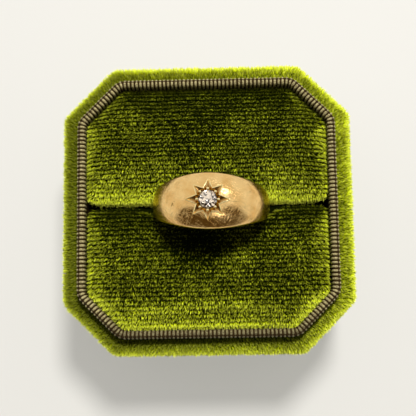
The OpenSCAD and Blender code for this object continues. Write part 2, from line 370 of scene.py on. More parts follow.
# Gold: 18 ct yellow gold, cast and rubbed satin by wear: broad soft reflections broken by hair scratches
goldLook = {
    "alloy": "#fcd48e",
    "worn": "#efbf74",
    "cut": "#ffe6ae",
    # paler than the alloy: a painted highlight on the burnished ridges and grains
    "burnishedHighlight": "#ffe9a8",
    # painted shade for the deep inner ends of the cuts
    "deepCutShade": "#ae7a26",
    "roughness": (0.085, 0.185),
    "mottle": 2.381,  # mm, size of the paler and darker patches
    "mottleSpan": (0.35, 0.6),
    "hairsKept": 1.4286,  # mm, size of the patches where hair scratches are left
    "hairsKeptSpan": (0.42, 0.58, 0.5, 1.0),
    "hairs": [  # slant in radians, and how far the scratches run, their spacing and their depth in mm
        (0.5, 3.333, 0.4348, 0.01),
        (-0.9, 2.5, 0.3448, 0.008),
        (1.9, 2.857, 0.3846, 0.008),
    ],
    "hairWidth": 0.028,  # share of the noise's range that a scratch takes up at each side of its middle
    "marks": [  # middle from the stone's middle, half sizes, turn in degrees and depth, in mm
        ((-6.35, -0.75), (0.5, 0.12), 62, 0.09),
        ((-6.1, -0.95), (0.32, 0.1), -35, 0.06),
        ((4.95, -0.3), (0.95, 0.05), -3, 0.03),
        ((6.6, -1.5), (0.5, 0.05), 25, 0.02),
        ((-4.6, 1.9), (0.6, 0.05), -50, 0.02),
    ],
    "cutRoughness": (0.12, 0.24),
    "chatter": 0.3846,  # mm, spacing and depth of the graver's marks
    "chatterDepth": 0.02,
    "chatterStrength": 0.3,
    "deepCutShadeReach": (1.9 * mm, 3.6 * mm),  # from the stone's middle, where the painted shade is full and where it ends
    "burnishedRoughness": 0.2,
}


def hairScratches(add, place):  # grooves where a stretched noise crosses its middle, worn away in patches
    patches = {"Vector": place, "Scale": scaleFor(goldLook["hairsKept"]), "Detail": 1}
    kept = add("ShaderNodeMapRange", [add("ShaderNodeTexNoise", patches), *goldLook["hairsKeptSpan"]])
    bumps = None
    for slant, run, spacing, depth in goldLook["hairs"]:
        turned = add("ShaderNodeMapping", {"Vector": place, "Rotation": (0, 0, slant)})
        stretch = (scaleFor(run), scaleFor(spacing), scaleFor(run))
        drawnOut = add("ShaderNodeVectorMath", [turned, stretch], operation="MULTIPLY")
        hairs = add("ShaderNodeTexNoise", {"Vector": drawnOut, "Scale": 1, "Detail": 2, "Distortion": 0.5})
        fromMiddle = add("ShaderNodeMath", [hairs, 0.5], operation="SUBTRACT")
        off = add("ShaderNodeMath", [fromMiddle], operation="ABSOLUTE")
        groove = add("ShaderNodeMapRange", [off, 0.0, goldLook["hairWidth"], -1.0, 0.0])
        left = add("ShaderNodeMath", [groove, kept], operation="MULTIPLY")
        scratched = {"Strength": 1.0, "Distance": depth * mm, "Height": left, "Normal": bumps}
        bumps = add("ShaderNodeBump", scratched)
    return bumps


def knocks(add, place, bumps):  # a nick left of the star and a few single scratches
    for (x, y), (halfX, halfY), turn, depth in goldLook["marks"]:
        middle = onHead(x, y)
        moved = add("ShaderNodeVectorMath", [place, (middle.x, middle.y, 0)], operation="SUBTRACT")
        turned = add("ShaderNodeMapping", {"Vector": moved, "Rotation": (0, 0, math.radians(-turn))})
        halves = (1 / halfX / mm, 1 / halfY / mm, 0)
        inHalves = add("ShaderNodeVectorMath", [turned, halves], operation="MULTIPLY")
        away = add("ShaderNodeVectorMath", [inHalves], operation="LENGTH").outputs["Value"]
        dip = add("ShaderNodeMapRange", [away, 0.0, 1.0, -depth, 0.0], interpolation_type="SMOOTHSTEP")
        bumps = add("ShaderNodeBump", {"Strength": 1.0, "Distance": mm, "Height": dip, "Normal": bumps})
    return bumps


def satinWear(add):
    place = add("ShaderNodeTexCoord").outputs["Object"]
    mottle = add("ShaderNodeTexNoise", {"Vector": place, "Scale": scaleFor(goldLook["mottle"]), "Detail": 4})
    share = add("ShaderNodeMapRange", [mottle, *goldLook["mottleSpan"]])
    golds = {0: share, 6: toLinear(goldLook["worn"]), 7: toLinear(goldLook["alloy"])}
    return {
        "Base Color": add("ShaderNodeMix", golds, data_type="RGBA").outputs[2],
        "Roughness": add("ShaderNodeMapRange", [mottle, *noiseSpan, *goldLook["roughness"]]),
        "Normal": knocks(add, place, hairScratches(add, place)),
    }


def brightCut(add):  # the same alloy where the graver left it bright, so it mirrors the dark and the light
    place = add("ShaderNodeTexCoord").outputs["Object"]
    pattern = {"Vector": place, "Scale": scaleFor(goldLook["chatter"]), "Detail": 3}
    marks = add("ShaderNodeTexNoise", pattern)
    strength, depth = goldLook["chatterStrength"], goldLook["chatterDepth"] * mm
    chatter = {"Strength": strength, "Distance": depth, "Height": marks}
    # Painted shade: the cuts are coloured darker towards the stone, where their grooves run deep under the
    # grains
    fromStone = add("ShaderNodeVectorMath", [place, tuple(onHead(0, 0))], operation="DISTANCE")
    reach = [fromStone.outputs["Value"], *goldLook["deepCutShadeReach"]]
    outOfDeepShade = add("ShaderNodeMapRange", reach, interpolation_type="SMOOTHSTEP")
    golds = {0: outOfDeepShade, 6: toLinear(goldLook["deepCutShade"]), 7: toLinear(goldLook["cut"])}
    return {
        "Base Color": add("ShaderNodeMix", golds, data_type="RGBA").outputs[2],
        "Roughness": add("ShaderNodeMapRange", [marks, *noiseSpan, *goldLook["cutRoughness"]]),
        "Normal": add("ShaderNodeBump", chatter),
    }


goldSatin = newMaterial("18ct gold rubbed satin", {"Metallic": 1}, satinWear)
goldCut = newMaterial("18ct gold bright cut", {"Metallic": 1}, brightCut)
# Rubbed ridges and grains, burnished and coloured paler than the alloy as a painted highlight, so they show
# as pale cream lines and points
goldBurnishedHighlight = newMaterial("18ct gold burnished ridge", {
    "Base Color": toLinear(goldLook["burnishedHighlight"]),
    "Roughness": goldLook["burnishedRoughness"],
    "Metallic": 1,
})


def bandTree(sizes):  # bends a grid round the finger: X goes round the ring, Y over its dome and back inside
    tree, add, size = newGeometryTree("gold band", sizes)
    rows = add("ShaderNodeMath", [size["Turns"], 1.0], operation="ADD")
    columns = add("ShaderNodeMath", [size["Columns"], 1.0], operation="ADD")
    counts = {"Size X": 1.0, "Size Y": 1.0, "Vertices X": rows, "Vertices Y": columns}
    grid = add("GeometryNodeMeshGrid", counts)
    flat = add("ShaderNodeSeparateXYZ", [add("GeometryNodeInputPosition")]).outputs
    # Direction round the ring, 0 at the head
    angle = add("ShaderNodeMath", [flat["X"], math.tau], operation="MULTIPLY")
    cosine = add("ShaderNodeMath", [angle], operation="COSINE")
    sine = add("ShaderNodeMath", [angle], operation="SINE")
    nearHead = add("ShaderNodeMath", [cosine, 0.5, 0.5], operation="MULTIPLY_ADD")

    def between(shank, head, fall):  # a size that grows from the shank to the head
        share = add("ShaderNodeMath", [nearHead, size[fall]], operation="POWER")
        more = add("ShaderNodeMath", [size[head], size[shank]], operation="SUBTRACT")
        return add("ShaderNodeMath", [share, more, size[shank]], operation="MULTIPLY_ADD")

    width = between("Shank Width", "Head Width", "Width Fall")
    half = add("ShaderNodeMath", [width, 0.5], operation="MULTIPLY")
    thickness = between("Shank Thickness", "Head Thickness", "Thickness Fall")
    dome = between("Shank Dome", "Head Dome", "Dome Fall")
    # Radius of the arc over the dome
    halfSquared = add("ShaderNodeMath", [half, half], operation="MULTIPLY")
    chord = add("ShaderNodeMath", [dome, dome, halfSquared], operation="MULTIPLY_ADD")
    domeTwice = add("ShaderNodeMath", [dome, 2.0], operation="MULTIPLY")
    arc = add("ShaderNodeMath", [chord, domeTwice], operation="DIVIDE")
    # Columns run over the dome and back through the bore, the last one on the first
    fromEdge = add("ShaderNodeMath", [flat["Y"], 0.5], operation="ADD")
    rawColumn = add("ShaderNodeMath", [fromEdge, size["Columns"]], operation="MULTIPLY")
    wholeColumn = add("ShaderNodeMath", [rawColumn], operation="ROUND")
    column = add("ShaderNodeMath", [wholeColumn, size["Columns"]], operation="MODULO")
    pastOuter = add("ShaderNodeMath", [size["Outer Columns"], 0.5], operation="ADD")
    outside = add("ShaderNodeMath", [column, pastOuter], operation="LESS_THAN")
    overDome = add("ShaderNodeMapRange", [column, 0.0, size["Outer Columns"], -1.0, 1.0])
    boreFirst = add("ShaderNodeMath", [size["Outer Columns"], 1.0], operation="ADD")
    boreLast = add("ShaderNodeMath", [size["Columns"], 1.0], operation="SUBTRACT")
    backThrough = add("ShaderNodeMapRange", [column, boreFirst, boreLast, 1.0, -1.0])
    across = add("ShaderNodeMix", {0: outside, 2: backThrough, 3: overDome})
    quarterTurns = add("ShaderNodeMath", [across, math.pi / 2], operation="MULTIPLY")
    closeAtEdges = add("ShaderNodeMath", [quarterTurns], operation="SINE")
    along = add("ShaderNodeMath", [half, closeAtEdges], operation="MULTIPLY")
    # How far the rounded edge has dropped there
    flatReach = add("ShaderNodeMath", [half, size["Edge Round"]], operation="SUBTRACT")
    fromMiddle = add("ShaderNodeMath", [along], operation="ABSOLUTE")
    past = add("ShaderNodeMath", [fromMiddle, flatReach], operation="SUBTRACT")
    edge = add("ShaderNodeMath", [past, size["Edge Round"]], operation="DIVIDE", use_clamp=True)
    edgeSquared = add("ShaderNodeMath", [edge, edge], operation="MULTIPLY")
    rest = add("ShaderNodeMath", [1.0, edgeSquared], operation="SUBTRACT", use_clamp=True)
    stillUp = add("ShaderNodeMath", [rest], operation="SQRT")
    dropped = add("ShaderNodeMath", [1.0, stillUp], operation="SUBTRACT")
    drop = add("ShaderNodeMath", [dropped, size["Edge Round"]], operation="MULTIPLY")
    # Radius over the dome, and in the bore
    alongSquared = add("ShaderNodeMath", [along, along], operation="MULTIPLY")
    arcSquared = add("ShaderNodeMath", [arc, arc], operation="MULTIPLY")
    riseSquared = add("ShaderNodeMath", [arcSquared, alongSquared], operation="SUBTRACT")
    rise = add("ShaderNodeMath", [riseSquared], operation="SQRT")
    domed = add("ShaderNodeMath", [rise, arc], operation="SUBTRACT")
    crest = add("ShaderNodeMath", [size["Bore Radius"], thickness], operation="ADD")
    overCrest = add("ShaderNodeMath", [crest, domed], operation="ADD")
    outer = add("ShaderNodeMath", [overCrest, drop], operation="SUBTRACT")
    inner = add("ShaderNodeMath", [size["Bore Radius"], drop], operation="ADD")
    radius = add("ShaderNodeMix", {0: outside, 2: inner, 3: outer})
    sideways = add("ShaderNodeMath", [radius, sine], operation="MULTIPLY")
    upward = add("ShaderNodeMath", [radius, cosine], operation="MULTIPLY")
    point = add("ShaderNodeCombineXYZ", [sideways, along, upward])
    bent = add("GeometryNodeSetPosition", {"Geometry": grid, "Position": point})
    closed = add("GeometryNodeMergeByDistance", {"Geometry": bent, "Distance": size["Join Within"]})
    smooth = add("GeometryNodeSetShadeSmooth", {"Geometry": closed})
    real = add("GeometryNodeRealizeInstances", [smooth])
    return endTree(tree, real, size["Material"])


# The star's eight rays and the stone's seat, in mm from the stone's middle
star = {
    "rays": 8,
    "sideTip": 4.0,  # the two rays along the band
    "tip": 3.65,
    "notch": 2.1,
    "deepest": 1.9,  # distance from the middle at which the grooves stop getting deeper
    "depth": 0.5,  # of a groove there, below the dome
    "foot": 1.0,  # depth below the crest in the middle, which the stone's seat cuts away
    "burr": 0.09,  # radius of the bright burr that the graver throws up along the outline
    "burrOut": 0.4,  # shares of that radius: how far out of the outline and up it sits, and its height
    "burrUp": 0.1,
    "burrHigh": 0.75,
    "stepsPerEdge": 6,
    "clear": 0.002,  # how far the brim of the cutter stands over the dome
    "above": 1.0,  # how far the cutters stand over the crest and inside the bore
    "seatSteps": 64,
    "sliver": 0.0005,  # edges shorter than this go after the cut
    "sharpFrom": 24,  # degrees between two faces
}
stone = {"radius": 1.65, "girdleDrop": 0.45, "girdle": 0.06, "seatGap": 0.05, "drill": 0.75, "pavilion": 41.0}
grains = {
    "Count": 8,
    "Radius": 0.27,
    "Flattened": (1.0, 1.0, 0.85),
    "From Middle": 1.9,
    "Height": headRadius - stone["girdleDrop"] + 0.24,
    "Segments": 16,
    "Rings": 10,
}


def bandSize(size, nearHead):  # a size of the band, from 0 at the shank to 1 at the head
    shank, head = ring["Shank " + size], ring["Head " + size]
    return shank + (head - shank) * nearHead ** ring[size + " Fall"]


def domeHeight(x, y):  # height of the band's outside above the finger's axis
    angle = math.asin(x / headRadius)
    for _ in range(3):
        nearHead = (1 + math.cos(angle)) / 2
        half = bandSize("Width", nearHead) / 2
        thick, dome = bandSize("Thickness", nearHead), bandSize("Dome", nearHead)
        arc = (half * half + dome * dome) / (2 * dome)
        radius = ring["Bore Radius"] + thick - arc + math.sqrt(arc * arc - y * y)
        angle = math.asin(x / radius)
    return radius * math.cos(angle)


def polar(reach, angle):
    return Vector((math.cos(angle), math.sin(angle))) * reach


def starOutline():
    corners = []
    for i in range(2 * star["rays"]):
        tip = star["sideTip"] if i % star["rays"] == 0 else star["tip"]
        corners.append(polar(star["notch"] if i % 2 else tip, math.pi * i / star["rays"]))
    points, steps = [], star["stepsPerEdge"]
    for i, corner in enumerate(corners):
        following = corners[(i + 1) % len(corners)]
        points += [corner.lerp(following, k / steps) for k in range(steps)]
    return points


def starCutter():  # eight V grooves that meet under the stone
    points = starOutline()
    count, steps, rays = len(points), star["stepsPerEdge"], star["rays"]
    roof = headRadius + star["above"]
    work = bmesh.new()
    foot = work.verts.new((0, 0, headRadius - star["foot"]))
    lid = work.verts.new((0, 0, roof))
    brim = [work.verts.new((p.x, p.y, domeHeight(p.x, p.y) + star["clear"])) for p in points]
    top = [work.verts.new((p.x, p.y, roof)) for p in points]
    keels = []
    for i in range(rays):
        x, y = polar(star["deepest"], math.tau * i / rays)
        keels.append(work.verts.new((x, y, domeHeight(x, y) - star["depth"])))
    for i in range(count):
        k = (i + 1) % count
        keel = keels[(i // steps + 1) // 2 % rays]
        work.faces.new((keel, brim[k], brim[i]))
        work.faces.new((brim[i], brim[k], top[k], top[i]))
        work.faces.new((top[i], top[k], lid))
    for i in range(rays):  # from the notches in to the middle
        notch = brim[(2 * i + 1) * steps]
        work.faces.new((keels[i], foot, notch))
        work.faces.new((foot, keels[(i + 1) % rays], notch))
    return closedMesh(work, "starCutter")


def burrBead():  # a flattened thread of bright metal along the outline, half sunk in the dome
    points = starOutline()
    count, sides, radius = len(points), 8, star["burr"]
    work = bmesh.new()
    loops = []
    for i, point in enumerate(points):
        before = (point - points[i - 1]).normalized()
        after = (points[(i + 1) % count] - point).normalized()
        out = Vector((before.y + after.y, -before.x - after.x)).normalized()
        loops.append([])
        for j in range(sides):
            t = math.tau * j / sides
            x, y = point + out * radius * (star["burrOut"] + math.cos(t))
            up = radius * (star["burrHigh"] * math.sin(t) + star["burrUp"])
            loops[-1].append(work.verts.new((x, y, domeHeight(x, y) + up)))
    for i in range(count):
        for j in range(sides):
            k, m = (i + 1) % count, (j + 1) % sides
            work.faces.new((loops[i][j], loops[k][j], loops[k][m], loops[i][m]))
    return closedMesh(work, "burr", smooth=True)


def seatCutter():  # the seat turned for the stone and the hole drilled through to the finger
    seatRadius = stone["radius"] + stone["seatGap"]
    seatTop = headRadius - stone["girdleDrop"] - stone["girdle"] / 2 - stone["seatGap"]
    coneDepth = (seatRadius - stone["drill"]) * math.tan(math.radians(stone["pavilion"]))
    profile = [  # radius and height
        (stone["drill"], ring["Bore Radius"] - star["above"]),
        (stone["drill"], seatTop - coneDepth),
        (seatRadius, seatTop),
        (seatRadius, headRadius + star["above"]),
    ]
    angles = [math.tau * i / star["seatSteps"] for i in range(star["seatSteps"])]
    work = bmesh.new()
    loft(work, [[work.verts.new((r * math.cos(t), r * math.sin(t), z)) for t in angles] for r, z in profile])
    return closedMesh(work, "seatCutter")


def grainTree(sizes):
    tree, add, size = newGeometryTree("setting grains", sizes)
    circle = add("GeometryNodeMeshCircle", {"Vertices": size["Count"], "Radius": size["From Middle"]})
    lift = add("ShaderNodeCombineXYZ", [0.0, 0.0, size["Height"]])
    raised = add("GeometryNodeSetPosition", {"Geometry": circle, "Offset": lift})
    bead = add("GeometryNodeMeshUVSphere", {key: size[key] for key in ("Segments", "Rings", "Radius")})
    smooth = add("GeometryNodeSetShadeSmooth", [bead])
    flattened = {"Points": raised, "Instance": smooth, "Scale": size["Flattened"]}
    real = add("GeometryNodeRealizeInstances", [add("GeometryNodeInstanceOnPoints", flattened)])
    return endTree(tree, real, size["Material"])


def cutBand(band, cutters):
    for cutter in cutters:
        cutter.data.materials.append(goldCut)
        cut = band.modifiers.new(cutter.name, "BOOLEAN")
        cut.object = cutter
        cut.operation = "DIFFERENCE"
        cut.solver = "EXACT"
        cut.material_mode = "TRANSFER"
    return plainMesh(band, "ringBand")


def makeRing():
    seed = linkedObject("ringSeed", bpy.data.meshes.new("ringSeed"))
    bandSizes = {**ring, **ringCounts, "Material": goldSatin}
    grainSizes = {**grains, "Material": goldBurnishedHighlight}
    band = linkedObject("ringBand", growMesh(seed, bandTree(bandSizes), bandSizes, "ringBand"))
    beads = growMesh(seed, grainTree(grainSizes), grainSizes, "grains")
    cutters = [linkedObject(mesh.name, mesh) for mesh in (starCutter(), seatCutter())]
    mesh = cutBand(band, cutters)
    mesh.materials.append(goldBurnishedHighlight)
    work = bmesh.new()
    work.from_mesh(mesh)
    bmesh.ops.dissolve_degenerate(work, edges=work.edges, dist=star["sliver"])
    bandFaces = len(work.faces)
    work.from_mesh(beads)
    work.from_mesh(burrBead())
    work.faces.ensure_lookup_table()
    for face in work.faces[bandFaces:]:
        face.material_index = len(mesh.materials) - 1
    bmesh.ops.transform(work, matrix=Matrix.Scale(mm, 4) @ inSlot(), verts=work.verts)
    work.to_mesh(mesh)
    work.free()
    mesh.set_sharp_from_angle(angle=math.radians(star["sharpFrom"]))
    band.data = mesh
    for scratch in (seed, *cutters):
        bpy.data.objects.remove(scratch)
    return band


ringBand = makeRing()
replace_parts(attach(ringBand, "root"), "ring_band")
print("ring made", len(ringBand.data.polygons), "faces")

# Diamond: an old cut, very slightly warm, its facets polished, so it throws the room back in grey and white
diamondLook = {"Base Color": toLinear("#f8e4ca"), "Transmission Weight": 1, "IOR": 2.42, "Roughness": 0.0}
clearDiamond = newMaterial("colourless diamond", diamondLook)
dressed(frame["nodes"]["diamond"], clearDiamond)

# Velvet: cotton pile on a woven ground, near black down between the tufts and lime at their tips
velvetLook = {
    # root to tip: painted shade low in the pile and a painted highlight at the pale tips
    "root": "#95a202",
    "middle": "#d5e00a",
    "middleAt": 0.3,  # share of a fibre's rise
    "tip": "#f6fa66",
    "shade": "#111900",
    "weave": 0.5556,  # mm, unevenness of the woven ground, and its depth
    "weaveDepth": 0.1,
    "weaveStrength": 0.6,
    "padGround": ("#0a0e00", "#0b1000"),
    "shellGround": ("#2b3402", "#465205"),
}


def pileColours(add):  # lighter from root to tip, and darker the lower the fibre's tone, which holds painted light and shade besides the tufts' own tone
    rise = add("ShaderNodeAttribute", attribute_name="rise").outputs["Fac"]
    tone = add("ShaderNodeAttribute", attribute_name="tone").outputs["Fac"]
    # Painted shade towards the root and a painted highlight at the tip
    ramp = add("ShaderNodeValToRGB", [rise])
    ramp.color_ramp.elements[0].color = toLinear(velvetLook["root"])
    ramp.color_ramp.elements[1].color = toLinear(velvetLook["tip"])
    ramp.color_ramp.elements.new(velvetLook["middleAt"]).color = toLinear(velvetLook["middle"])
    greens = {0: tone, 6: toLinear(velvetLook["shade"]), 7: ramp}
    return {"Base Color": add("ShaderNodeMix", greens, data_type="RGBA").outputs[2]}


def wovenGround(dark, light, add):  # the woven ground between tufts: dull, and never as bright as the pile
    place = add("ShaderNodeTexCoord").outputs["Object"]
    weave = add("ShaderNodeTexNoise", {"Vector": place, "Scale": scaleFor(velvetLook["weave"]), "Detail": 3})
    greens = {0: weave, 6: toLinear(dark), 7: toLinear(light)}
    strength, depth = velvetLook["weaveStrength"], velvetLook["weaveDepth"] * mm
    return {
        "Base Color": add("ShaderNodeMix", greens, data_type="RGBA").outputs[2],
        "Normal": add("ShaderNodeBump", {"Strength": strength, "Distance": depth, "Height": weave}),
    }


pileFinish = {"Roughness": 0.55, "Specular IOR Level": 0.06}
groundFinish = {"Roughness": 0.95, "Specular IOR Level": 0.05}
shadedWeave = partial(wovenGround, *velvetLook["padGround"])
openWeave = partial(wovenGround, *velvetLook["shellGround"])
velvetPile = newMaterial("olive cotton velvet pile", pileFinish, pileColours)
padGround = newMaterial("olive velvet ground in shade", groundFinish, shadedWeave)
shellGround = newMaterial("olive velvet ground cloth", groundFinish, openWeave)

# One tree grows the pile on every velvet surface. Lengths are in metres.
pile = {
    "Per Square Metre": 34e6,
    "Length": 0.8 * mm,
    "Width": 0.15 * mm,
    "Lean": (-0.08, -0.5, 0.0),  # the nap lies towards the front and a little to the left
    "Outward": 0.0,  # lean away from the middle of the box
    "Stray": 0.2,
    "Row Pitch": 0.83 * mm,
    "Row Depth": 0.45,
    "Roll Radius": 0.0,  # of the cloth's rolled edges, which the rows follow
    "Tuft Size": 0.3 * mm,
    "Tuft Pull": 0.9,
    "Patch Size": 8 * mm,
    "Patch Lean": 0.75,
    "Lowest": -1.0,  # pile grows above this height, and where the cloth faces up by between these shares
    "Steepest": -2.0,
    "Flattest": 2.0,
    # how bright a piece's pile is painted: a painted light level as well as the cloth's tone
    "Tone": 0.06,
    "Tuft Tone": 0.5,
    # painted sheen where the cloth rolls over
    "Rim Tone": 0.15,
    "Lie Tone": 0.9,  # painted light, added for pile that lies this way, from and to these shares of it
    "Lie Way": (0.06, -0.85, 0.0),
    "Lie From": 0.56,
    "Lie Full": 0.82,
    # a place whose pile is painted darker
    "Brushed At": (0.0, 0.0, 0.0),
    "Brushed Radius": 1 * mm,
    "Brushed Tone": 0.0,
    "Seed": 1,
    "Material": velvetPile,
}
nap = {  # what is the same for every pile
    "wanderEvery": 6.25,  # mm, how often the rows wander, and by how much
    "wanderBy": 0.5,
    "rowClosing": -1.4,  # lean of the fibres over the middle of their row
    "uneven": (0.78, 1.12),  # length of a fibre
    "tuftHeight": (0.4, 0.72),  # how much a tuft's length varies, and the shortest
    "sideways": 0.34,  # how far lying to the side counts as lying to the front
    "tuftContrast": 1.8,
    "tuftFront": (-0.1, 0.4, 0.15, 1.0),  # painted shade to full tone, from pile that lies to the back to pile that lies to the front
    "rim": (0.97, 0.5, 0.0, 1.0),  # painted sheen, from cloth that faces up to cloth that has rolled over
    "rowShade": -0.7,
    "speck": 0.1,
}
bakePlace = {"margin": 0.05, "span": 0.9, "side": 0.04}  # of the tones on the map that they bake to


def clothShown(add, size, position):  # only cloth that can be seen grows pile
    height = add("ShaderNodeSeparateXYZ", [position]).outputs["Z"]
    facing = add("ShaderNodeSeparateXYZ", [add("GeometryNodeInputNormal")]).outputs["Z"]
    highEnough = add("FunctionNodeCompare", [height, size["Lowest"]], operation="GREATER_THAN")
    steepEnough = add("FunctionNodeCompare", [facing, size["Flattest"]], operation="LESS_THAN")
    flatEnough = add("FunctionNodeCompare", [facing, size["Steepest"]], operation="GREATER_THAN")
    slopes = add("FunctionNodeBooleanMath", [steepEnough, flatEnough], operation="AND")
    return add("FunctionNodeBooleanMath", [highEnough, slopes], operation="AND")


def rowPlace(add, size, position, grown):
    # Round a rolled edge the rows follow the cloth and not the plan
    slope = add("ShaderNodeSeparateXYZ", [grown]).outputs["Y"]
    turn = add("ShaderNodeMath", [slope], operation="ARCSINE")
    unrolled = add("ShaderNodeMath", [turn, slope], operation="SUBTRACT")
    placeY = add("ShaderNodeSeparateXYZ", [position]).outputs["Y"]
    alongCloth = add("ShaderNodeMath", [unrolled, size["Roll Radius"], placeY], operation="MULTIPLY_ADD")
    wander = {"Vector": position, "Scale": scaleFor(nap["wanderEvery"]), "Detail": 1.0}
    wave = add("ShaderNodeTexNoise", wander)
    waved = add("ShaderNodeMath", [wave, nap["wanderBy"] * mm, alongCloth], operation="MULTIPLY_ADD")
    rowsOn = add("ShaderNodeMath", [waved, size["Row Pitch"]], operation="DIVIDE")
    inRow = add("ShaderNodeMath", [rowsOn], operation="FRACT")
    # Place across the row, -0.5 to 0.5, and how deep the nap is cut there
    acrossRow = add("ShaderNodeMath", [inRow, 0.5], operation="SUBTRACT")
    squared = add("ShaderNodeMath", [acrossRow, acrossRow], operation="MULTIPLY")
    offMiddle = add("ShaderNodeMath", [squared, 4.0], operation="MULTIPLY")
    rowCut = add("ShaderNodeMath", [offMiddle, size["Row Depth"]], operation="MULTIPLY")
    return acrossRow, rowCut


def tuftPlace(add, size, position, grown):  # the pull to a tuft's middle, and the tuft's own random values
    tuftScale = add("ShaderNodeMath", [1.0, size["Tuft Size"]], operation="DIVIDE")
    tufts = add("ShaderNodeTexVoronoi", {"Vector": position, "Scale": tuftScale})
    toTuft = add("ShaderNodeVectorMath", [tufts.outputs["Position"], position], operation="SUBTRACT")
    upward = add("ShaderNodeVectorMath", [toTuft, grown], operation="DOT_PRODUCT").outputs["Value"]
    upPart = add("ShaderNodeVectorMath", {0: grown, "Scale": upward}, operation="SCALE")
    levelPull = add("ShaderNodeVectorMath", [toTuft, upPart], operation="SUBTRACT")
    pullShare = add("ShaderNodeMath", [size["Tuft Pull"], size["Length"]], operation="DIVIDE")
    pull = add("ShaderNodeVectorMath", {0: levelPull, "Scale": pullShare}, operation="SCALE")
    return pull, add("ShaderNodeSeparateXYZ", [tufts.outputs["Color"]]).outputs


def fibreWay(add, size, position, grown, acrossRow, pull):
    # Patches where the nap has been brushed another way
    patchScale = add("ShaderNodeMath", [1.0, size["Patch Size"]], operation="DIVIDE")
    patches = add("ShaderNodeTexNoise", {"Vector": position, "Scale": patchScale, "Detail": 2.0})
    brushed = add("ShaderNodeVectorMath", [patches.outputs["Color"], (0.5, 0.5, 0.5)], operation="SUBTRACT")
    brushLean = add("ShaderNodeVectorMath", {0: brushed, "Scale": size["Patch Lean"]}, operation="SCALE")
    # The fibres of a row close up over its middle
    rowPull = add("ShaderNodeMath", [size["Row Depth"], nap["rowClosing"]], operation="MULTIPLY")
    toRow = add("ShaderNodeMath", [acrossRow, rowPull], operation="MULTIPLY")
    rowLean = add("ShaderNodeCombineXYZ", [0.0, toRow, 0.0])
    ends = {"Min": (-1.0, -1.0, -1.0), "Max": (1.0, 1.0, 1.0)}
    anyWay = add("FunctionNodeRandomValue", ends, data_type="FLOAT_VECTOR")
    stray = add("ShaderNodeVectorMath", {0: anyWay, "Scale": size["Stray"]}, operation="SCALE")
    inPlan = add("ShaderNodeVectorMath", [position, (1.0, 1.0, 0.0)], operation="MULTIPLY")
    fromAxis = add("ShaderNodeVectorMath", [inPlan], operation="NORMALIZE")
    outward = add("ShaderNodeVectorMath", {0: fromAxis, "Scale": size["Outward"]}, operation="SCALE")
    way = grown
    for part in (size["Lean"], outward, pull, brushLean, rowLean, stray):
        way = add("ShaderNodeVectorMath", [way, part], operation="ADD")
    return way


def fibreTurn(add, way):  # up along its way, and turned at random about itself
    upright = add("FunctionNodeAlignRotationToVector", {"Vector": way}, axis="Z")
    anyTurn = add("FunctionNodeRandomValue", {2: 0.0, 3: math.tau})
    spin = add("FunctionNodeAxisAngleToRotation", {"Angle": anyTurn})
    return add("FunctionNodeRotateRotation", [upright, spin], rotation_space="LOCAL")


def fibreLength(add, size, rowCut, tuftOwn):
    least, most = nap["uneven"]
    uneven = add("FunctionNodeRandomValue", {2: least, 3: most, "Seed": 5})
    tuftHeight = add("ShaderNodeMath", [tuftOwn["X"], *nap["tuftHeight"]], operation="MULTIPLY_ADD")
    rowHeight = add("ShaderNodeMath", [1.0, rowCut], operation="SUBTRACT")
    inTuft = add("ShaderNodeMath", [uneven, tuftHeight], operation="MULTIPLY")
    tall = add("ShaderNodeMath", [inTuft, rowHeight], operation="MULTIPLY")
    return add("ShaderNodeMath", [tall, size["Length"]], operation="MULTIPLY")


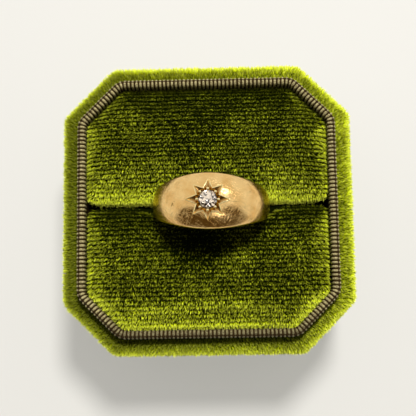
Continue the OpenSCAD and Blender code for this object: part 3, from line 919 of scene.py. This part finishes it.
def fibreTone(add, size, position, grown, way, rowCut, tuftOwn):
    # The tone paints light and shade into the pile's colour: 0 is a fibre painted in shade, as pile seen
    # end-on or brushed to the back would look, and pile that lies to the front is painted bright, as if its
    # lit sides showed
    lying = add("ShaderNodeVectorMath", [way], operation="NORMALIZE")
    toFront = add("ShaderNodeVectorMath", [lying, size["Lie Way"]], operation="DOT_PRODUCT").outputs["Value"]
    sideways = add("ShaderNodeSeparateXYZ", [lying]).outputs["X"]
    toSide = add("ShaderNodeMath", [sideways], operation="ABSOLUTE")
    lie = add("ShaderNodeMath", [toSide, nap["sideways"], toFront], operation="MULTIPLY_ADD")
    lieShare = add("ShaderNodeMapRange", [lie, size["Lie From"], size["Lie Full"], 0.0, 1.0])
    toneLie = add("ShaderNodeMath", [lieShare, size["Lie Tone"]], operation="MULTIPLY")
    # Each tuft has its own tone, painted down as shade where its pile lies to the back
    bright = add("ShaderNodeMath", [tuftOwn["Y"], nap["tuftContrast"]], operation="POWER")
    tuftShare = add("ShaderNodeMath", [bright, size["Tuft Tone"]], operation="MULTIPLY")
    towards = add("ShaderNodeMapRange", [lie, *nap["tuftFront"]])
    toneTuft = add("ShaderNodeMath", [tuftShare, towards], operation="MULTIPLY")
    # Painted sheen on the rim of a pad or the shoulder, where the cloth rolls over, and a place painted
    # darker
    facingUp = add("ShaderNodeSeparateXYZ", [grown]).outputs["Z"]
    rim = add("ShaderNodeMapRange", [facingUp, *nap["rim"]])
    toneRim = add("ShaderNodeMath", [rim, size["Rim Tone"], size["Tone"]], operation="MULTIPLY_ADD")
    fromDarkened = add("ShaderNodeVectorMath", [position, size["Brushed At"]], operation="DISTANCE")
    nearDarkened = [fromDarkened.outputs["Value"], size["Brushed Radius"], 0.0]
    darkenedShare = add("ShaderNodeMapRange", nearDarkened, interpolation_type="SMOOTHSTEP")
    tonePlace = add("ShaderNodeMath", [darkenedShare, size["Brushed Tone"], toneRim], operation="MULTIPLY_ADD")
    toneRow = add("ShaderNodeMath", [rowCut, nap["rowShade"]], operation="MULTIPLY")
    speck = add("FunctionNodeRandomValue", {2: -nap["speck"], 3: nap["speck"], "Seed": 9})
    tone = toneTuft
    for part in (toneLie, tonePlace, toneRow):
        tone = add("ShaderNodeMath", [tone, part], operation="ADD")
    return add("ShaderNodeMath", [tone, speck], operation="ADD", use_clamp=True)


def spikeFibre(add):  # a slim three-sided spike, closed at its foot, that keeps its rise and side
    slim = {"Vertices": 3, "Radius Top": 0.0, "Radius Bottom": 0.5, "Depth": 1.0}
    spike = add("GeometryNodeMeshCone", slim)
    place = add("ShaderNodeSeparateXYZ", [add("GeometryNodeInputPosition")]).outputs
    for name, axis in (("rise", "Z"), ("side", "X")):
        stored = {"Geometry": spike, "Name": name, "Value": place[axis]}
        spike = add("GeometryNodeStoreNamedAttribute", stored, data_type="FLOAT", domain="POINT")
    return spike


def bakeMap(add, real):  # a flat map of the painted light and tone against rise, so that the colours bake without unwrapping fibres
    tone, rise, side = (
        add("GeometryNodeInputNamedAttribute", {"Name": name}, data_type="FLOAT")
        for name in ("tone", "rise", "side"))
    span, margin = bakePlace["span"], bakePlace["margin"]
    shift = add("ShaderNodeMath", [side, bakePlace["side"], margin], operation="MULTIPLY_ADD")
    mapX = add("ShaderNodeMath", [tone, span, shift], operation="MULTIPLY_ADD")
    mapY = add("ShaderNodeMath", [rise, span, margin], operation="MULTIPLY_ADD")
    place = add("ShaderNodeCombineXYZ", [mapX, mapY, 0.0])
    stored = {"Geometry": real, "Name": "OFBake", "Value": place}
    mapped = add("GeometryNodeStoreNamedAttribute", stored, data_type="FLOAT2", domain="CORNER")
    return add("GeometryNodeRemoveAttribute", {"Geometry": mapped, "Name": "side"})


def pileTree(sizes):
    tree, add, size = newGeometryTree("velvet pile", sizes)
    position = add("GeometryNodeInputPosition")
    scattered = {
        "Mesh": size["Geometry"],
        "Selection": clothShown(add, size, position),
        "Density": size["Per Square Metre"],
        "Seed": size["Seed"],
    }
    points = add("GeometryNodeDistributePointsOnFaces", scattered)
    grown = points.outputs["Normal"]
    acrossRow, rowCut = rowPlace(add, size, position, grown)
    pull, tuftOwn = tuftPlace(add, size, position, grown)
    way = fibreWay(add, size, position, grown, acrossRow, pull)
    tone = fibreTone(add, size, position, grown, way, rowCut, tuftOwn)
    stored = {"Geometry": points, "Name": "tone", "Value": tone}
    toned = add("GeometryNodeStoreNamedAttribute", stored, data_type="FLOAT", domain="POINT")
    length = fibreLength(add, size, rowCut, tuftOwn)
    scale = add("ShaderNodeCombineXYZ", [size["Width"], size["Width"], length])
    grownUp = {"Points": toned, "Instance": spikeFibre(add), "Rotation": fibreTurn(add, way), "Scale": scale}
    fibres = add("GeometryNodeInstanceOnPoints", grownUp)
    real = add("GeometryNodeRealizeInstances", [fibres])
    return endTree(tree, bakeMap(add, real), size["Material"])


velvetTree = pileTree(pile)


def growPile(carrierMesh, name, sizes):
    carrier = linkedObject("carrier", carrierMesh)
    mesh = growMesh(carrier, velvetTree, {**pile, **sizes}, name)
    bpy.data.objects.remove(carrier)
    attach(linkedObject(name, mesh), "root")
    print(name, len(mesh.polygons), "faces")


# The pads are sewn cloth over wadding, swollen at twenty times life size, which suits the solver's steps.
# What swells is held to these reaches in mm, so that the pads stay clear of the ring and the lip.
padCloth = {
    "enlarge": 20.0,
    "voxel": 0.9,
    "quality": 6,
    "frames": 12,
    "pressure": 3.0,
    "mostUp": 0.35,
    "mostOut": 0.06,
    "facingUp": 0.5,
}
padPile = {"Steepest": 0.1, "Roll Radius": 2.6 * mm}
pads = [
    {"node": "back_pad", "name": "backPad", "pile": {
        "Seed": 3, "Lowest": 22.5 * mm, "Tone": 0.14, "Lie From": 0.6,
        # a darker patch in the middle of the back pad
        "Brushed At": Vector((-4, 11, 28)) * mm, "Brushed Radius": 11 * mm, "Brushed Tone": -0.1}},
    {"node": "front_pad", "name": "frontPad", "pile": {
        "Seed": 4, "Lowest": 25.1 * mm, "Tone": 0.095, "Lie From": 0.565,
        # painted shadow of the ring on the front pad
        "Brushed At": Vector((-2, -7.5, 28)) * mm, "Brushed Radius": 8.5 * mm, "Brushed Tone": -0.3}},
]


def swollen(work, name):  # the cloth of a pad after the pressure of its wadding
    cloth = work.modifiers.new("cloth", "CLOTH")
    cloth.settings.quality = padCloth["quality"]
    cloth.settings.use_pressure = True
    cloth.settings.uniform_pressure_force = padCloth["pressure"]
    cloth.settings.effector_weights.gravity = 0
    cloth.collision_settings.use_collision = False
    for step in range(1, padCloth["frames"] + 1):
        scene.frame_set(step)
    mesh = plainMesh(work, name)
    scene.frame_set(1)
    return mesh


def stuffPad(node, name):
    solid = mergedCopy(node, name + "Solid")
    corners = [v.co.copy() for v in solid.vertices]
    surface = BVHTree.FromPolygons(corners, [tuple(p.vertices) for p in solid.polygons])
    solid.transform(Matrix.Scale(padCloth["enlarge"], 4))
    work = linkedObject(name + "Work", solid)
    remesh = work.modifiers.new("remesh", "REMESH")
    remesh.mode = "VOXEL"
    remesh.voxel_size = padCloth["voxel"] * mm * padCloth["enlarge"]
    work.data = plainMesh(work, name + "Cloth")
    start = [v.co.copy() for v in work.data.vertices]
    mesh = swollen(work, name)
    bpy.data.objects.remove(work)
    shrink = 1 / padCloth["enlarge"]
    for vertex, was in zip(mesh.vertices, start):
        home = was * shrink
        move = vertex.co * shrink - home
        facing = surface.find_nearest(home)[1]
        most = (padCloth["mostUp"] if facing.z > padCloth["facingUp"] else padCloth["mostOut"]) * mm
        vertex.co = home + move * min(1, most / max(move.length, smallest))
    for polygon in mesh.polygons:
        polygon.use_smooth = True
    stuffed = dressed(linkedObject(name, mesh), padGround)
    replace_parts(stuffed, node)
    print(name, "stuffed", len(mesh.vertices), "points")
    return stuffed


for pad in pads:
    stuffed = stuffPad(pad["node"], pad["name"])
    growPile(stuffed.data.copy(), pad["name"] + "Pile", {**padPile, **pad["pile"]})

# The shell's outside grows a little longer, looser pile on its shoulder, and sparser, wider pile on its walls
shoulderPile = {
    "Per Square Metre": 58e6,
    "Length": 0.88 * mm,
    "Lowest": 23 * mm,
    "Steepest": 0.25,
    "Row Depth": 0.1,
    "Lean": (-0.1, 0.0, 0.0),
    "Outward": 0.8,
    "Stray": 0.25,
    "Tuft Size": 0.5 * mm,
    "Tuft Pull": 1.2,
    "Tuft Tone": 0.55,
    "Tone": 0.2,
    # painted sheen on the shoulder's outer rim
    "Rim Tone": 0.75,
    "Lie Tone": 0.26,
    # pile that lies to the back and right, towards the skylight, is painted brighter
    "Lie Way": (0.8, 0.3, 0.0),
    "Lie From": -0.4,
    "Lie Full": 0.5,
    "Seed": 6,
}
wallPile = {
    "Per Square Metre": 14e6,
    "Width": 0.25 * mm,
    "Lowest": 0.8 * mm,
    "Flattest": 0.25,
    "Row Depth": 0.05,
    "Lean": (0.0, 0.0, 0.35),
    "Tone": 0.4,
    "Tuft Tone": 0.25,
    "Lie Tone": 0.2,
    "Seed": 7,
}
shellHidden = {"facing": 0.5, "inward": -1e-6, "trayFloor": 3 * mm}


def isHidden(face):  # the shell's inside walls, its underside and the floor of its tray
    middle, up = face.calc_center_median(), face.normal.z
    inward = face.normal.xy.dot(middle.xy) < shellHidden["inward"]
    onTrayFloor = middle.z < shellHidden["trayFloor"] and up > shellHidden["facing"]
    return inward or up < -shellHidden["facing"] or onTrayFloor


def shellOutside():
    mesh = mergedCopy("box_shell", "shellCarrier")
    work = bmesh.new()
    work.from_mesh(mesh)
    bmesh.ops.delete(work, geom=[face for face in work.faces if isHidden(face)], context="FACES")
    work.to_mesh(mesh)
    work.free()
    return mesh


dressed(frame["nodes"]["box_shell"], shellGround)
outside = shellOutside()
growPile(outside.copy(), "shoulderPile", shoulderPile)
growPile(outside.copy(), "wallPile", wallPile)

# Ribbon: grosgrain, viscose cords bound side by side over the lip, with a painted highlight on each cord's
# crown and painted shade in the brown valleys
ribbonLook = {
    "cord": "#a3986a",
    "cordDark": "#5f5334",
    # the ribbon's brown darkened as painted shade in the valleys between the cords
    "valleyShade": "#382a12",
    "valleyDeepShade": "#140b06",
    "thread": 0.2381,  # mm, unevenness of the threads round a cord, and of those in the ground
    "threadSpan": (0.35, 0.55),
    "threadDepth": 0.05,
    "threadStrength": 0.5,
    "groundThread": 0.3333,
    "frontShade": 0.5,  # painted shade: share of the colour left at the front of the lip
    "frontShadeFrom": -20 * mm,
    "frontShadeTo": -23.5 * mm,
}


def cordThreads(add):
    place = add("ShaderNodeTexCoord").outputs["Object"]
    crown = add("ShaderNodeAttribute", attribute_name="crown").outputs["Fac"]
    pattern = {"Vector": place, "Scale": scaleFor(ribbonLook["thread"]), "Detail": 2}
    threads = add("ShaderNodeTexNoise", pattern)
    share = add("ShaderNodeMapRange", [threads, *ribbonLook["threadSpan"]])
    browns = {0: share, 6: toLinear(ribbonLook["cordDark"]), 7: toLinear(ribbonLook["cord"])}
    cord = add("ShaderNodeMix", browns, data_type="RGBA").outputs[2]
    # Painted highlight on the cord's crown, painted shade towards its sides
    crowned = {0: crown, 6: toLinear(ribbonLook["valleyShade"]), 7: cord}
    colour = add("ShaderNodeMix", crowned, data_type="RGBA").outputs[2]
    # The front of the lip is darkened as painted shade
    toBack = add("ShaderNodeSeparateXYZ", [place]).outputs["Y"]
    shadeAtFront = [toBack, ribbonLook["frontShadeFrom"], ribbonLook["frontShadeTo"], 1.0, ribbonLook["frontShade"]]
    front = add("ShaderNodeMapRange", shadeAtFront)
    strength, depth = ribbonLook["threadStrength"], ribbonLook["threadDepth"] * mm
    return {
        "Base Color": add("ShaderNodeVectorMath", {0: colour, "Scale": front}, operation="SCALE"),
        "Normal": add("ShaderNodeBump", {"Strength": strength, "Distance": depth, "Height": threads}),
    }


# the lip's cloth between the cords, coloured dark as painted shade
def groundThreads(add):
    place = add("ShaderNodeTexCoord").outputs["Object"]
    pattern = {"Vector": place, "Scale": scaleFor(ribbonLook["groundThread"]), "Detail": 2}
    threads = add("ShaderNodeTexNoise", pattern)
    browns = {0: threads, 6: toLinear(ribbonLook["valleyDeepShade"]), 7: toLinear(ribbonLook["valleyShade"])}
    return {"Base Color": add("ShaderNodeMix", browns, data_type="RGBA").outputs[2]}


cordFinish = {"Roughness": 0.5, "Specular IOR Level": 0.3}
valleyFinish = {"Roughness": 0.8, "Specular IOR Level": 0.1}
ribbonCord = newMaterial("taupe grosgrain ribbon", cordFinish, cordThreads)
ribbonValley = newMaterial("brown ribbon ground", valleyFinish, groundThreads)
lip = {  # mm, set in from the box's edge
    "inset": 2.9,
    "thick": 1.4,
    "top": 28.1,
    "foot": 25.2,
    "corner": 3.2,
    "cornerSteps": 8,
    "boxWidth": 55.0,
    "cornerCut": 9.5,
}
cords = {  # mm
    "pitch": 0.76,
    "proud": 0.13,
    "halfWidth": 0.285,
    "halfHeight": 0.27,
    "straight": 0.6,  # how far a cord runs down from its arch, and how much shorter it is inside the lip
    "archSteps": 14,
    "sides": 8,
    "stitchAt": 1.05,  # radians round the arch, where a row of stitches pinches the cords
    "stitchWide": 0.22,
    "pinch": 0.6,
    "crown": (0.35, 0.65),  # painted highlight and shade: how light a cord's sides are, and how much more so its crown
    "uneven": (0.9, 1.08),  # width of a cord
}


def octagonLoop(inset, radius, steps):  # the lip's outline in plan, in mm, its corners rounded
    half = lip["boxWidth"] / 2
    slant = (lip["boxWidth"] - lip["cornerCut"]) / math.sqrt(2)
    points = []
    for k in range(8):
        turn, following = math.radians(45 * k), math.radians(45 * (k + 1))
        reaches = (half, slant) if k % 2 == 0 else (slant, half)
        near, far = (reach - inset - radius for reach in reaches)
        side = (far - near * math.cos(math.radians(45))) / math.sin(math.radians(45))
        cornerX = near * math.cos(turn) - side * math.sin(turn)
        cornerY = near * math.sin(turn) + side * math.cos(turn)
        for j in range(steps + 1):
            points.append(Vector((cornerX, cornerY)) + polar(radius, turn + (following - turn) * j / steps))
    return points


def cordPath():  # X, Z and direction, from the shoulder over the lip and down inside
    radius = lip["thick"] / 2 + cords["proud"] - cords["halfHeight"]
    foot = lip["foot"] - lip["top"] + lip["thick"] / 2
    straight, steps = cords["straight"], cords["archSteps"]
    arch = [math.pi * i / steps for i in range(steps + 1)]
    return [(radius, foot, 0.0), (radius, -straight, 0.0),
            *((radius * math.cos(a), radius * math.sin(a), a) for a in arch),
            (-radius, -straight, math.pi), (-radius, foot + straight, math.pi)]


def cordMesh():  # one cord along X, with its crown up
    halfHeight, halfWidth, sides = cords["halfHeight"], cords["halfWidth"], cords["sides"]
    sideLight, crownLight = cords["crown"]
    work = bmesh.new()
    crown = work.verts.layers.float.new("crown")
    loops = []
    for x, z, a in cordPath():
        fromStitch = (a - cords["stitchAt"]) / cords["stitchWide"]
        full = 1 - cords["pinch"] * math.exp(-fromStitch ** 2)
        loop = []
        for i in range(sides):
            t = math.tau * i / sides
            out = halfHeight * math.cos(t) * full
            place = (x + out * math.cos(a), halfWidth * math.sin(t) * full, z + out * math.sin(a))
            loop.append(work.verts.new(place))
            # painted highlight on the crown, painted shade on the sides and where the stitches pinch the cord
            loop[-1][crown] = min(1, max(0, sideLight + crownLight * math.cos(t))) * full
        loops.append(loop)
    loft(work, loops)
    mesh = closedMesh(work, "rib", smooth=True)
    mesh.transform(Matrix.Scale(mm, 4))
    return mesh


def cordTree(sizes):
    tree, add, size = newGeometryTree("ribbon cords", sizes)
    curve = add("GeometryNodeMeshToCurve", [size["Geometry"]])
    spaced = add("GeometryNodeCurveToPoints", {"Curve": curve, "Count": size["Count"]}, mode="COUNT")
    tangent = spaced.outputs["Tangent"]
    across = add("ShaderNodeVectorMath", [tangent, (0.0, 0.0, 1.0)], operation="CROSS_PRODUCT")
    facing = add("FunctionNodeAlignRotationToVector", {"Vector": across}, axis="X", pivot_axis="Z")
    least, most = cords["uneven"]
    width = add("FunctionNodeRandomValue", {2: least, 3: most, "Seed": 11})
    scale = add("ShaderNodeCombineXYZ", [1.0, width, 1.0])
    cord = add("GeometryNodeObjectInfo", [size["Cord"]]).outputs["Geometry"]
    bound = {"Points": spaced, "Instance": cord, "Rotation": facing, "Scale": scale}
    real = add("GeometryNodeRealizeInstances", [add("GeometryNodeInstanceOnPoints", bound)])
    return endTree(tree, real, size["Material"])


def bindLip():
    half = lip["thick"] / 2
    loop = octagonLoop(lip["inset"] + half, lip["corner"] - half, lip["cornerSteps"])
    crest = [(p.x * mm, p.y * mm, (lip["top"] - half) * mm) for p in loop]
    path = bpy.data.meshes.new("lipCrest")
    path.from_pydata(crest, [(i, (i + 1) % len(loop)) for i in range(len(loop))], [])
    length = sum((loop[i] - loop[i - 1]).length for i in range(len(loop)))
    carrier, cord = linkedObject("lipCrest", path), linkedObject("cord", cordMesh())
    sizes = {"Cord": cord, "Count": round(length / cords["pitch"]), "Material": ribbonCord}
    mesh = growMesh(carrier, cordTree(sizes), sizes, "ribbonCords")
    for scratch in (carrier, cord):
        bpy.data.objects.remove(scratch)
    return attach(linkedObject("ribbonCords", mesh), "root")


ribbonCords = bindLip()
dressed(frame["nodes"]["lip"], ribbonValley)
print("ribbon bound", len(ribbonCords.data.polygons), "faces")
